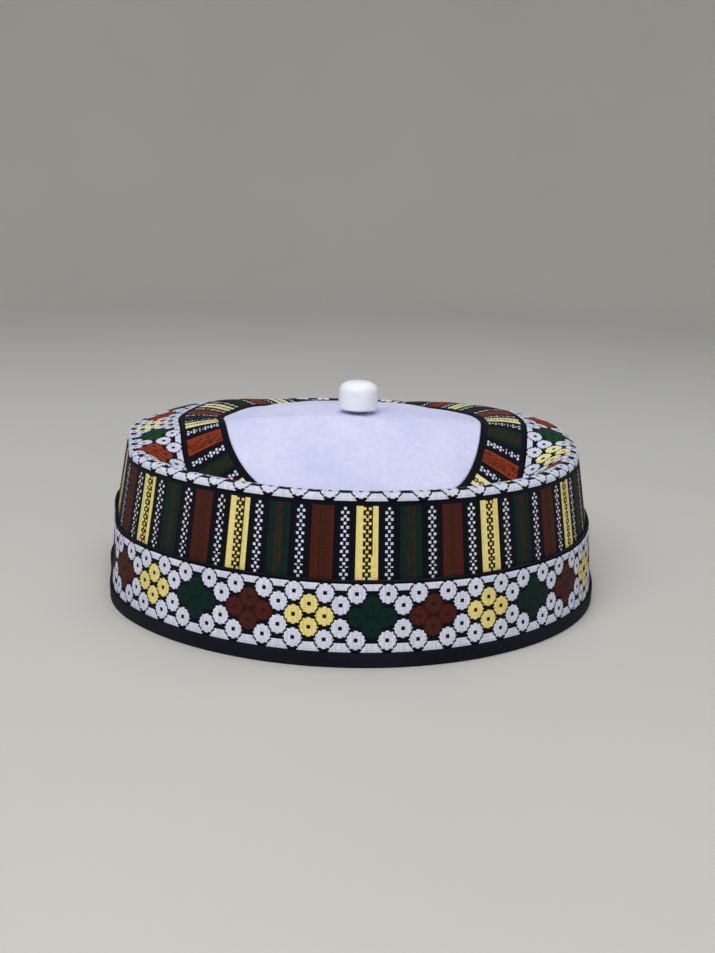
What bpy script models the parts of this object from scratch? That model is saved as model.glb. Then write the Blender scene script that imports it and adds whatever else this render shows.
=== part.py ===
"""Round pillbox cap: a hem binding, two woven side bands, a dented crown and a top button.

Units are metres and +Z is up. The origin is the middle of the hem, on the surface that the cap
rests on, and the front of the cap faces -Y. Every cloth piece is turned round the Z axis from a
closed profile, and the crown's pieces are then pressed in by the same dent.
"""
import math

import bmesh
import bpy

# Head opening and cloth
HEAD_GIRTH = 0.6096
BINDING_LEAF = 0.0010
BAND_CLOTH = 0.0012
CROWN_CLOTH = 0.0015
SEAM_GAP = 0.0003

# Side wall
HEM_HEIGHT = 0.0050
HEM_FOLD = 0.0012
FLOWER_BAND_TOP = 0.0280
FLOWER_BAND_LEAN = 0.0019
BAND_LAP = 0.0040
WALL_HEIGHT = 0.0539
STRIPE_BAND_LEAN = 0.0045
BRAID_WIDTH = 0.0009

# Crown
ROLL_RADIUS = 0.0024
CROWN_RISE = 0.0094
CROWN_FULLNESS = 3.1
DISC_RADIUS = 0.0520
STRIPE_RING_WIDTH = 0.0180

# Dent across the front of the crown: where its ridge lies, its shape, and how far inside the rim it ends
DENT_RIDGE = 0.0104
DENT_SKEW = 0.13
DENT_SLOPE = 0.75
DENT_DEPTH = 0.0200
DENT_SOFTNESS = 0.0016
DENT_FADE_WIDTH = 0.0228
DENT_MARGIN = 0.0016

# Top button and its thread shank
BUTTON_DIAMETER = 0.0156
BUTTON_HEIGHT = 0.0113
BUTTON_TOP_ROUND = 0.0034
BUTTON_FOOT_ROUND = 0.0008
BUTTON_OFFSET = 0.0025
SHANK_DIAMETER = 0.0080
SHANK_HEIGHT = 0.0010

# Fineness of the turned shapes
CAP_SEGMENTS = 64
BUTTON_SEGMENTS = 32
RING_STEPS = 5
DISC_STEPS = 8
ROUND_STEPS = 3
BRAID_SIDES = 6
SHARP_ANGLE = math.radians(40.0)

# Sizes that follow
INNER_RADIUS = HEAD_GIRTH / (2.0 * math.pi)
BAND_FOOT_RADIUS = INNER_RADIUS + BINDING_LEAF + SEAM_GAP
HEM_OUTER_RADIUS = BAND_FOOT_RADIUS + BAND_CLOTH + SEAM_GAP + BINDING_LEAF
FLOWER_TOP_INNER = BAND_FOOT_RADIUS - FLOWER_BAND_LEAN
STRIPE_FOOT_RADIUS = FLOWER_TOP_INNER - SEAM_GAP
RIM_RADIUS = STRIPE_FOOT_RADIUS - STRIPE_BAND_LEAN
RIM_SEAM = WALL_HEIGHT + SEAM_GAP
ROLL_INNER = ROLL_RADIUS - CROWN_CLOTH
DOME_RADIUS = RIM_RADIUS - ROLL_RADIUS
STRIPE_RING_INNER = DISC_RADIUS + SEAM_GAP
STRIPE_RING_OUTER = STRIPE_RING_INNER + STRIPE_RING_WIDTH
FLOWER_RING_INNER = STRIPE_RING_OUTER + SEAM_GAP


def smoothstep(low, high, value):
    """Ease from 0 at low to 1 at high."""
    share = min(max((value - low) / (high - low), 0.0), 1.0)
    return share * share * (3.0 - 2.0 * share)


def soft_clamp(value, top, softness):
    """Hold a value between 0 and top, with soft corners."""
    rising = math.log1p(math.exp(value / softness))
    levelling = math.log1p(math.exp((value - top) / softness))
    return softness * (rising - levelling)


def dome_height(radius):
    """Height of the crown's outer face before it is dented."""
    fall = min(radius / DOME_RADIUS, 1.0) ** CROWN_FULLNESS
    return RIM_SEAM + ROLL_RADIUS + CROWN_RISE * (1.0 - fall)


def dent_depth(x, y):
    """How far the crown is pressed in at a place seen from above."""
    run = DENT_SKEW * x - DENT_RIDGE - y
    pressed = soft_clamp(DENT_SLOPE * run, DENT_DEPTH, DENT_SOFTNESS)
    fade_end = RIM_RADIUS - DENT_MARGIN
    kept = 1.0 - smoothstep(fade_end - DENT_FADE_WIDTH, fade_end, math.hypot(x, y))
    return pressed * kept


def stations(start, end, steps):
    """Evenly spaced values from start to end, both kept."""
    return [start + (end - start) * step / steps for step in range(steps + 1)]


def arc(centre, radius, start, end, steps):
    """Points along a round stretch of a profile, with angles in degrees."""
    angles = [math.radians(angle) for angle in stations(start, end, steps)]
    return [(centre[0] + radius * math.cos(a), centre[1] + radius * math.sin(a)) for a in angles]


def cloth_finish(name, colour, roughness):
    """A plain material for one piece."""
    finish = bpy.data.materials.new(name)
    finish.use_nodes = True
    shader = finish.node_tree.nodes["Principled BSDF"]
    shader.inputs["Base Color"].default_value = (*colour, 1.0)
    shader.inputs["Roughness"].default_value = roughness
    shader.inputs["Metallic"].default_value = 0.0
    return finish


def turned(name, profile, finish, closed=True, pressed=False, segments=CAP_SEGMENTS):
    """A solid turned round Z from (radius, height) points.

    A closed profile makes a ring. An open one starts and ends on the axis.
    """
    shape = bmesh.new()
    points = [shape.verts.new((radius, 0.0, height)) for radius, height in profile]
    ends = zip(points, points[1:] + points[:1]) if closed else zip(points, points[1:])
    edges = [shape.edges.new(pair) for pair in ends]
    bmesh.ops.spin(
        shape,
        geom=points + edges,
        cent=(0.0, 0.0, 0.0),
        axis=(0.0, 0.0, 1.0),
        angle=2.0 * math.pi,
        steps=segments,
        use_merge=True,
    )
    bmesh.ops.remove_doubles(shape, verts=shape.verts[:], dist=1e-6)
    if pressed:
        for vert in shape.verts:
            vert.co.z -= dent_depth(vert.co.x, vert.co.y)
    bmesh.ops.recalc_face_normals(shape, faces=shape.faces[:])
    mesh = bpy.data.meshes.new(name)
    shape.to_mesh(mesh)
    shape.free()
    mesh.shade_smooth()
    mesh.set_sharp_from_angle(angle=SHARP_ANGLE)
    mesh.materials.append(finish)
    piece = bpy.data.objects.new(name, mesh)
    bpy.context.scene.collection.objects.link(piece)
    return piece


def hem_binding(finish):
    """Folded tape round the lower edge: two leaves and the flat fold that the cap rests on."""
    leaf_round = BINDING_LEAF / 2.0
    inner_leaf = (INNER_RADIUS + leaf_round, HEM_HEIGHT - leaf_round)
    outer_leaf = (HEM_OUTER_RADIUS - leaf_round, HEM_HEIGHT - leaf_round)
    foot_round = min(leaf_round, HEM_FOLD / 2.0)
    profile = [
        (BAND_FOOT_RADIUS - SEAM_GAP, HEM_FOLD),
        (BAND_FOOT_RADIUS + BAND_CLOTH + SEAM_GAP, HEM_FOLD),
        *arc(outer_leaf, leaf_round, 180.0, 0.0, 2),
        *arc((HEM_OUTER_RADIUS - foot_round, foot_round), foot_round, 0.0, -90.0, 2),
        *arc((INNER_RADIUS + foot_round, foot_round), foot_round, 270.0, 180.0, 2),
        *arc(inner_leaf, leaf_round, 180.0, 0.0, 2),
    ]
    return turned("hem_binding", profile, finish)


def flower_band(finish):
    """Lower side band: upright inside the hem binding, then leaning in to its top edge."""
    outer_foot = BAND_FOOT_RADIUS + BAND_CLOTH
    outer_top = FLOWER_TOP_INNER + BAND_CLOTH
    foot = HEM_FOLD + SEAM_GAP
    middle = (HEM_HEIGHT + FLOWER_BAND_TOP) / 2.0
    profile = [
        (outer_foot, foot),
        (outer_foot, HEM_HEIGHT),
        ((outer_foot + outer_top) / 2.0, middle),
        (outer_top, FLOWER_BAND_TOP),
        (FLOWER_TOP_INNER, FLOWER_BAND_TOP),
        ((BAND_FOOT_RADIUS + FLOWER_TOP_INNER) / 2.0, middle),
        (BAND_FOOT_RADIUS, HEM_HEIGHT),
        (BAND_FOOT_RADIUS, foot),
    ]
    return turned("flower_band", profile, finish)


def stripe_band(finish):
    """Upper side band: its foot laps behind the flower band, and its top edge is the rim."""
    lap_slope = FLOWER_BAND_LEAN / (FLOWER_BAND_TOP - HEM_HEIGHT)
    lap_radius = STRIPE_FOOT_RADIUS + BAND_LAP * lap_slope
    middle = ((STRIPE_FOOT_RADIUS + RIM_RADIUS) / 2.0, (FLOWER_BAND_TOP + WALL_HEIGHT) / 2.0)
    outer = [
        (lap_radius, FLOWER_BAND_TOP - BAND_LAP),
        (STRIPE_FOOT_RADIUS, FLOWER_BAND_TOP),
        middle,
        (RIM_RADIUS, WALL_HEIGHT),
    ]
    inner = [(radius - BAND_CLOTH, height) for radius, height in reversed(outer)]
    return turned("stripe_band", outer + inner, finish)


def seam_braid(finish):
    """Round braid laid in the corner where the stripe band leaves the flower band."""
    half = BRAID_WIDTH / 2.0
    centre = (STRIPE_FOOT_RADIUS + SEAM_GAP + half, FLOWER_BAND_TOP + SEAM_GAP + half)
    around = 360.0 * (BRAID_SIDES - 1) / BRAID_SIDES
    return turned("seam_braid", arc(centre, half, 0.0, around, BRAID_SIDES - 1), finish)


def crown_cross_section(outer, inner, steps):
    """Profile of a ring of crown cloth between two radii, with upright edges."""
    top = [(radius, dome_height(radius)) for radius in stations(outer, inner, steps)]
    underside = [(radius, height - CROWN_CLOTH) for radius, height in reversed(top)]
    return top + underside


def crown_flower_ring(finish):
    """Outer crown ring, rolled down over the rim to butt on the stripe band."""
    centre = (DOME_RADIUS, RIM_SEAM)
    dome = crown_cross_section(DOME_RADIUS, FLOWER_RING_INNER, RING_STEPS)
    roll_outside = arc(centre, ROLL_RADIUS, 0.0, 90.0, ROUND_STEPS)
    roll_inside = arc(centre, ROLL_INNER, 90.0, 0.0, ROUND_STEPS)
    profile = roll_outside + dome[1:-1] + roll_inside
    return turned("crown_flower_ring", profile, finish, pressed=True)


def crown_stripe_ring(finish):
    """Middle crown ring, butted between the flower ring and the disc."""
    profile = crown_cross_section(STRIPE_RING_OUTER, STRIPE_RING_INNER, RING_STEPS)
    return turned("crown_stripe_ring", profile, finish, pressed=True)


def crown_disc(finish):
    """Plain disc in the middle of the crown."""
    profile = crown_cross_section(0.0, DISC_RADIUS, DISC_STEPS)
    return turned("crown_disc", profile, finish, closed=False, pressed=True)


def shank_seat():
    """Height of the crown's highest point under the shank."""
    edge = SHANK_DIAMETER / 2.0
    turns = [2.0 * math.pi * step / BUTTON_SEGMENTS for step in range(BUTTON_SEGMENTS)]
    places = [(BUTTON_OFFSET + edge * math.cos(a), edge * math.sin(a)) for a in turns]
    return max(dome_height(math.hypot(x, y)) - dent_depth(x, y) for x, y in places)


def button_shank(finish):
    """Short thread shank between the crown and the button."""
    edge = SHANK_DIAMETER / 2.0
    profile = [(0.0, 0.0), (edge, 0.0), (edge, SHANK_HEIGHT), (0.0, SHANK_HEIGHT)]
    piece = turned("button_shank", profile, finish, closed=False, segments=BUTTON_SEGMENTS)
    piece.location = (BUTTON_OFFSET, 0.0, shank_seat() + SEAM_GAP)
    return piece


def button(finish):
    """Drum-shaped top button with a rounded upper edge."""
    edge = BUTTON_DIAMETER / 2.0
    foot = (edge - BUTTON_FOOT_ROUND, BUTTON_FOOT_ROUND)
    top = (edge - BUTTON_TOP_ROUND, BUTTON_HEIGHT - BUTTON_TOP_ROUND)
    profile = [
        (0.0, 0.0),
        *arc(foot, BUTTON_FOOT_ROUND, -90.0, 0.0, 2),
        *arc(top, BUTTON_TOP_ROUND, 0.0, 90.0, ROUND_STEPS + 1),
        (0.0, BUTTON_HEIGHT),
    ]
    piece = turned("button", profile, finish, closed=False, segments=BUTTON_SEGMENTS)
    piece.location = (BUTTON_OFFSET, 0.0, shank_seat() + SHANK_HEIGHT + 2.0 * SEAM_GAP)
    return piece


def main():
    """Clear the scene and model the cap."""
    for old in list(bpy.data.objects):
        bpy.data.objects.remove(old, do_unlink=True)
    hem_binding(cloth_finish("navy_binding", (0.004, 0.005, 0.012), 0.8))
    flower_band(cloth_finish("flower_weave", (0.12, 0.12, 0.14), 0.85))
    seam_braid(cloth_finish("black_braid", (0.004, 0.005, 0.010), 0.75))
    stripe_band(cloth_finish("stripe_weave", (0.06, 0.05, 0.03), 0.85))
    crown_flower_ring(cloth_finish("crown_flower_weave", (0.16, 0.15, 0.16), 0.85))
    crown_stripe_ring(cloth_finish("crown_stripe_weave", (0.08, 0.05, 0.03), 0.85))
    crown_disc(cloth_finish("white_cloth", (0.66, 0.68, 0.84), 0.85))
    button_shank(cloth_finish("shank_thread", (0.30, 0.31, 0.36), 0.8))
    button(cloth_finish("button_white", (0.80, 0.82, 0.90), 0.5))


main()
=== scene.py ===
"""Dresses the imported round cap: woven bands and rings, white disc, bound hem, braid and top button.

Everything is in metres in the frame of the solids: +Z up, the hem on the floor, the front of the
cap towards -Y. Angles round the cap are degrees from the front, growing towards +X.
"""
import logging
import math
from dataclasses import dataclass
from enum import Enum

import bmesh
import bpy
import numpy as np
from mathutils import Euler, Matrix, Vector


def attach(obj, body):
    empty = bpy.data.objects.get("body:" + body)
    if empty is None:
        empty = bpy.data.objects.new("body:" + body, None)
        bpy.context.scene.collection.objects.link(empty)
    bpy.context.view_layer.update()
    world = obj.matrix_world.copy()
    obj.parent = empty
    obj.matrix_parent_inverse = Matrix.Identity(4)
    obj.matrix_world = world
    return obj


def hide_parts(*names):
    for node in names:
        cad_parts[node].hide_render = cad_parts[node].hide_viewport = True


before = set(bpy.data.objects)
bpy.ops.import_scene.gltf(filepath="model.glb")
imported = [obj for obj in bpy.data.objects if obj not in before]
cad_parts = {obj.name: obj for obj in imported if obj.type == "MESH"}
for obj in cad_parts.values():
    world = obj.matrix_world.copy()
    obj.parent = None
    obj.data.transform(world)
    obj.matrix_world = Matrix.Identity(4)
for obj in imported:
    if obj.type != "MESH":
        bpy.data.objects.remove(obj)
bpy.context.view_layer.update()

log = logging.getLogger("cap")

MM = 0.001
FULL_TURN = 360.0
RUN_LAYER = "run"
THREAD_ATTRIBUTE = "thread"
WEAVE_MAP = "weave"
SECTOR_STEPS = 48
MERGE_DISTANCE = 1e-6
NOISE_SPAN = (0.3, 0.7)
DEGREE_ON_WALL = 1.64 * MM


def smoothstep(low: float, high: float, value: np.ndarray) -> np.ndarray:
    """Ease from 0 at low to 1 at high."""
    share = np.clip((value - low) / (high - low), 0.0, 1.0)
    return share * share * (3.0 - 2.0 * share)


def bell(away: np.ndarray, width: float) -> np.ndarray:
    """Rise to 1 where away is 0, and fall off over a width."""
    return np.exp(-((away / width) ** 2))


def wrapped(angle: np.ndarray) -> np.ndarray:
    """Angles in degrees, brought between -180 and 180."""
    return (angle + FULL_TURN / 2.0) % FULL_TURN - FULL_TURN / 2.0


class Thread(Enum):
    """Thread colours, each with its sRGB value; the entries used only on the crown are the wall's maroon,
    green and yellow threads painted lighter, with painted light from above.
    """

    GROUND = (5, 8, 18)
    WHITE = (222, 224, 242)
    MAROON = (77, 28, 20)
    MAROON_BROWN = (70, 34, 20)
    MAROON_DEEP = (48, 18, 14)
    # Painted light: the wall's maroon threads as the crown shows them, painted lighter for the light from
    # above.
    CROWN_LIT_MAROON = (150, 55, 22)
    CROWN_LIT_MAROON_DEEP = (112, 42, 20)
    GREEN = (6, 38, 32)
    GREEN_DEEP = (4, 27, 25)
    # Painted light: the wall's green threads as the crown shows them, painted lighter for the light from
    # above.
    CROWN_LIT_GREEN = (8, 66, 34)
    CROWN_LIT_GREEN_DEEP = (6, 40, 24)
    YELLOW = (240, 223, 136)
    # Painted light: the wall's yellow thread as the crown shows it, painted lighter for the light from
    # above.
    CROWN_LIT_YELLOW = (247, 238, 170)
    BROWN_BLACK = (38, 24, 12)
    RUST = (58, 32, 20)
    OLIVE = (50, 36, 15)

    def linear(self) -> np.ndarray:
        """Linear colour of the thread."""
        share = np.array(self.value) / 255.0
        return np.where(share <= 0.04045, share / 12.92, ((share + 0.055) / 1.055) ** 2.4)


THREADS = list(Thread)
THREAD_COLOURS = np.array([thread.linear() for thread in THREADS])
RAISED = np.array([float(thread not in (Thread.GROUND, Thread.BROWN_BLACK)) for thread in THREADS])


def strand(thread: Thread) -> int:
    """Number of a thread in the colour table."""
    return THREADS.index(thread)


@dataclass(frozen=True)
class CapShape:
    """Sizes of the cap as its solids have them, in metres."""

    head_girth: float = 0.6096
    binding_leaf: float = 0.0010
    band_cloth: float = 0.0012
    crown_cloth: float = 0.0015
    seam_gap: float = 0.0003
    hem_height: float = 0.0050
    hem_fold: float = 0.0012
    flower_top: float = 0.0280
    flower_lean: float = 0.0019
    band_lap: float = 0.0040
    wall_height: float = 0.0539
    stripe_lean: float = 0.0045
    braid_width: float = 0.0009
    roll_radius: float = 0.0024
    crown_rise: float = 0.0094
    crown_fullness: float = 3.1
    disc_radius: float = 0.0520
    stripe_ring_width: float = 0.0180
    dent_ridge: float = 0.0104
    dent_skew: float = 0.13
    dent_slope: float = 0.75
    dent_depth: float = 0.0200
    dent_softness: float = 0.0016
    dent_fade_width: float = 0.0228
    dent_margin: float = 0.0016
    button_diameter: float = 0.0156
    button_height: float = 0.0113
    button_offset: float = 0.0025
    shank_diameter: float = 0.0080
    shank_height: float = 0.0010

    @property
    def inner_radius(self) -> float:
        """Radius of the head opening."""
        return self.head_girth / (2.0 * math.pi)

    @property
    def foot_inner(self) -> float:
        """Inner radius of the flower band at its foot."""
        return self.inner_radius + self.binding_leaf + self.seam_gap

    @property
    def hem_outer(self) -> float:
        """Outer radius of the hem binding."""
        return self.foot_inner + self.band_cloth + self.seam_gap + self.binding_leaf

    @property
    def flower_top_inner(self) -> float:
        """Inner radius of the flower band at its top edge."""
        return self.foot_inner - self.flower_lean

    @property
    def stripe_foot(self) -> float:
        """Outer radius of the stripe band where it leaves the flower band."""
        return self.flower_top_inner - self.seam_gap

    @property
    def rim_radius(self) -> float:
        """Outer radius of the rim."""
        return self.stripe_foot - self.stripe_lean

    @property
    def rim_seam(self) -> float:
        """Height of the seam between the wall and the crown."""
        return self.wall_height + self.seam_gap

    @property
    def dome_radius(self) -> float:
        """Radius at which the crown rolls over into the rim."""
        return self.rim_radius - self.roll_radius

    @property
    def stripe_ring_inner(self) -> float:
        """Inner radius of the crown's stripe ring."""
        return self.disc_radius + self.seam_gap

    @property
    def stripe_ring_outer(self) -> float:
        """Outer radius of the crown's stripe ring."""
        return self.stripe_ring_inner + self.stripe_ring_width

    @property
    def flower_ring_inner(self) -> float:
        """Inner radius of the crown's flower ring."""
        return self.stripe_ring_outer + self.seam_gap

    def dome_height(self, radius: np.ndarray) -> np.ndarray:
        """Height of the crown's outer face before it is dented."""
        fall = np.minimum(radius / self.dome_radius, 1.0) ** self.crown_fullness
        return self.rim_seam + self.roll_radius + self.crown_rise * (1.0 - fall)

    def dent(self, x: np.ndarray, y: np.ndarray) -> np.ndarray:
        """How far the crown is pressed in at places seen from above."""
        run = self.dent_slope * (self.dent_skew * x - self.dent_ridge - y)
        rising = np.logaddexp(0.0, run / self.dent_softness)
        levelling = np.logaddexp(0.0, (run - self.dent_depth) / self.dent_softness)
        pressed = self.dent_softness * (rising - levelling)
        fade_end = self.rim_radius - self.dent_margin
        kept = 1.0 - smoothstep(fade_end - self.dent_fade_width, fade_end, np.hypot(x, y))
        return pressed * kept

    def dome(self, radii: np.ndarray, drop: float = 0.0) -> list:
        """Profile points on the crown's outer face before it is dented, or a drop below it."""
        return [(r, float(self.dome_height(r)) - drop) for r in radii]

    def shank_seat(self, turns: int = 32) -> float:
        """Height of the crown's highest point under the shank."""
        edge = self.shank_diameter / 2.0
        angles = np.linspace(0.0, 2.0 * math.pi, turns, endpoint=False)
        x = self.button_offset + edge * np.cos(angles)
        y = edge * np.sin(angles)
        return float(np.max(self.dome_height(np.hypot(x, y)) - self.dent(x, y)))


@dataclass(frozen=True)
class Slump:
    """One place round the cap where the soft crown sits lower or fuller than its solid."""

    angle: float
    spread: float
    lift: float


@dataclass(frozen=True)
class FlatSide:
    """One side of the cap that is pressed a little flat, most at the hem."""

    angle: float
    spread: float
    at_hem: float
    at_rim: float


@dataclass(frozen=True)
class SoftSet:
    """How the cloth has settled: the sides are pressed a little flat and the crown's back is uneven.

    A pair of lengths tells where an effect starts and where it is whole. The pairs for the rim and
    the crown's height are counted from the rim's radius and the rim seam. A wave is given by how
    often it goes round the cap, its share, its phase and how it shifts with height.
    """

    shape: CapShape
    slumps: tuple = (
        Slump(angle=-112.0, spread=44.0, lift=-0.8 * MM),
        Slump(angle=-122.0, spread=16.0, lift=1.6 * MM),
        Slump(angle=86.0, spread=16.0, lift=0.9 * MM),
        Slump(angle=108.0, spread=12.0, lift=1.0 * MM),
        Slump(angle=122.0, spread=26.0, lift=1.6 * MM),
    )
    back: Slump = Slump(angle=180.0, spread=34.0, lift=-3.2 * MM)
    flats: tuple = (
        FlatSide(angle=-78.0, spread=15.5, at_hem=5.0 * MM, at_rim=3.8 * MM),
        FlatSide(angle=82.0, spread=15.0, at_hem=1.6 * MM, at_rim=1.0 * MM),
        FlatSide(angle=180.0, spread=60.0, at_hem=-1.4 * MM, at_rim=-0.9 * MM),
    )
    lift_out: tuple = (20.0 * MM, 65.0 * MM)
    rim_held: tuple = (-5.0 * MM, 0.2 * MM)
    crown_up: tuple = (-14.0 * MM, -6.0 * MM)
    press_out: tuple = (15.0 * MM, 80.0 * MM)
    ripple: float = 0.25 * MM
    waves: tuple = ((3.0, 1.0, 0.6, 0.0), (7.0, 0.6, 2.1, 0.0), (13.0, 0.35, 0.0, 60.0))
    ripple_up: tuple = (4.0 * MM, 26.0 * MM)
    ripple_out: tuple = (60.0 * MM, 88.0 * MM)
    hollow_depth: float = 3.5 * MM
    hollow_radius: float = 49.7 * MM
    hollow_width: float = 10.0 * MM
    hollow_eased: float = 0.5
    hollow_back: tuple = (-20.0 * MM, 25.0 * MM)

    def settle(self, points: np.ndarray) -> np.ndarray:
        """Move points of the crown and wall the way the cloth has settled.

        Args:
            points: an array of positions, one row for each.

        Returns:
            The moved positions.
        """
        x, y, z = points.T
        radius = np.hypot(x, y)
        angle = np.degrees(np.arctan2(x, -y))
        moved = points.copy()
        moved[:, 2] += self._lift(radius, angle, y, z)
        scale = 1.0 - self._inward(radius, angle, z) / np.maximum(radius, MM)
        moved[:, :2] *= scale[:, None]
        return moved

    def _lift(self, radius: np.ndarray, angle: np.ndarray, y: np.ndarray, z: np.ndarray) -> np.ndarray:
        """How far each point of the crown rises, less the hollow along the disc's back edge."""
        rim_start, rim_end = (self.shape.rim_radius + offset for offset in self.rim_held)
        low, high = (self.shape.rim_seam + offset for offset in self.crown_up)
        lift = sum(slump.lift * self._near(angle, slump) for slump in (*self.slumps, self.back))
        lift = lift * smoothstep(*self.lift_out, radius) * (1.0 - smoothstep(rim_start, rim_end, radius))
        hollow = self.hollow_depth * bell(radius - self.hollow_radius, self.hollow_width)
        hollow *= smoothstep(*self.hollow_back, y) * (1.0 - self.hollow_eased * self._near(angle, self.back))
        return (lift - hollow) * smoothstep(low, high, z)

    def _inward(self, radius: np.ndarray, angle: np.ndarray, z: np.ndarray) -> np.ndarray:
        """How far each point is pressed towards the axis, less the ripple of the wall."""
        at_hem = 1.0 - smoothstep(0.0, self.shape.flower_top, z)
        pressed = sum((side.at_rim + (side.at_hem - side.at_rim) * at_hem) * self._near(angle, side)
                      for side in self.flats)
        pressed = pressed * smoothstep(*self.press_out, radius) * radius / self.shape.rim_radius
        turn = np.radians(angle)
        wave = sum(share * np.sin(times * turn + phase + climb * z)
                   for times, share, phase, climb in self.waves)
        wave = wave * smoothstep(*self.ripple_up, z) * smoothstep(*self.ripple_out, radius)
        return pressed - self.ripple * wave

    def _near(self, angle: np.ndarray, place: Slump | FlatSide) -> np.ndarray:
        """How much each angle belongs to a place round the cap, from 0 to 1."""
        return bell(wrapped(angle - place.angle), place.spread)


class NodeKit:
    """Short ways to lay out one material's nodes."""

    def __init__(self, name: str) -> None:
        """Start an empty material with a Principled shader."""
        self.material = bpy.data.materials.new(name)
        self.material.use_nodes = True
        self.tree = self.material.node_tree
        self.shader = self.tree.nodes["Principled BSDF"]

    def feed(self, socket: object, value: object) -> None:
        """Give a socket a number, a colour or the output of another node."""
        if isinstance(value, (int, float)):
            socket.default_value = value
        elif isinstance(value, tuple):
            socket.default_value = (*value, 1.0)
        else:
            self.tree.links.new(value, socket)

    def node(self, kind: str, feeds: dict, **settings: object) -> bpy.types.Node:
        """Add a node.

        Args:
            kind: the node's type.
            feeds: what goes into its inputs, by number or name.
            settings: its properties.

        Returns:
            The node.
        """
        made = self.tree.nodes.new(kind)
        for key, value in settings.items():
            setattr(made, key, value)
        for socket, value in feeds.items():
            self.feed(made.inputs[socket], value)
        return made

    def surface(self, feeds: dict) -> None:
        """Feed the shader's own inputs, by name."""
        for socket, value in feeds.items():
            self.feed(self.shader.inputs[socket], value)

    def place(self) -> object:
        """Output that tells a point's place in its object."""
        return self.node("ShaderNodeTexCoord", {}).outputs["Object"]

    def weave(self) -> tuple:
        """Outputs that tell a point's place on the cloth, across and along, in metres."""
        spot = self.node("ShaderNodeUVMap", {}, uv_map=WEAVE_MAP).outputs[0]
        return tuple(self.node("ShaderNodeSeparateXYZ", {0: spot}).outputs)[:2]

    def math(self, operation: str, first: object, second: object = 0.0) -> object:
        """Work out one sum of sockets or numbers."""
        return self.node("ShaderNodeMath", {0: first, 1: second}, operation=operation).outputs[0]

    def plus(self, first: object, second: object, weight: float) -> object:
        """Add a weighted socket to another."""
        return self.math("ADD", first, self.math("MULTIPLY", second, weight))

    def mix(self, share: object, low: object, high: object) -> object:
        """Mix two colours by a share from 0 to 1."""
        return self.node("ShaderNodeMix", {0: share, 6: low, 7: high}, data_type="RGBA").outputs[2]

    def noise(self, where: object, scale: float, detail: float = 3.0) -> object:
        """Read a noise at a coordinate socket."""
        feeds = {"Vector": where, "Scale": scale, "Detail": detail}
        return self.node("ShaderNodeTexNoise", feeds).outputs["Fac"]

    def spread(self, value: object, low: float, high: float, to_low: float, to_high: float) -> object:
        """Map a value from one range to another, held at the ends."""
        feeds = dict(enumerate((value, low, high, to_low, to_high)))
        return self.node("ShaderNodeMapRange", feeds).outputs[0]

    def bump(self, height: object, distance: float, strength: float) -> None:
        """Give the shader relief from a height socket."""
        feeds = {"Strength": strength, "Distance": distance, "Height": height}
        self.surface({"Normal": self.node("ShaderNodeBump", feeds).outputs["Normal"]})

    def paint(self, colour: object, shade: object) -> None:
        """Give the shader a colour socket that is scaled by a shade socket."""
        scaled = self.node("ShaderNodeVectorMath", {0: colour, "Scale": shade}, operation="SCALE")
        self.surface({"Base Color": scaled.outputs[0]})

    def cloth(self, roughness: float, sheen: float) -> None:
        """Set the shader's inputs that are the same all over a cloth."""
        self.shader.inputs["Roughness"].default_value = roughness
        self.surface({"Sheen Weight": sheen, "Sheen Roughness": 0.5, "Specular IOR Level": 0.12})


@dataclass(frozen=True)
class WovenFinish:
    """Thick embroidery cotton: the chart's thread colours, with ribs at the pitch of the threads and painted
    shade in the grooves between them.
    """

    name: str
    rib_pitch: float = 0.43 * MM
    pick_pitch: float = 0.86 * MM
    relief: float = 0.10 * MM
    fuzz: float = 2600.0
    patches: float = 45.0

    def make(self) -> bpy.types.Material:
        """Lay out the material's nodes."""
        kit = NodeKit(self.name)
        across, along = kit.weave()
        place = kit.place()
        rib = kit.math("SINE", kit.math("MULTIPLY", across, math.pi / self.rib_pitch))
        rib = kit.math("ABSOLUTE", rib)
        pick = kit.math("SINE", kit.math("MULTIPLY", along, 2.0 * math.pi / self.pick_pitch))
        fuzz = kit.noise(place, self.fuzz)
        # Painted shade: the colour darkens in the grooves between ribs and picks, where the relief is
        # lowest; the fuzz and patch noise add random tone.
        shade = kit.spread(kit.plus(rib, pick, 0.2), 0.0, 1.1, 0.80, 1.06)
        for noise, low, high in ((fuzz, 0.92, 1.06), (kit.noise(place, self.patches, 2.0), 0.95, 1.04)):
            shade = kit.math("MULTIPLY", shade, kit.spread(noise, *NOISE_SPAN, low, high))
        thread = kit.node("ShaderNodeAttribute", {}, attribute_name=THREAD_ATTRIBUTE)
        kit.paint(thread.outputs["Color"], shade)
        kit.bump(kit.plus(kit.plus(rib, pick, 0.35), fuzz, 0.8), self.relief, 0.9)
        kit.surface({"Roughness": kit.spread(fuzz, *NOISE_SPAN, 0.70, 0.92)})
        kit.cloth(0.82, 0.02)
        return kit.material


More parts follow.
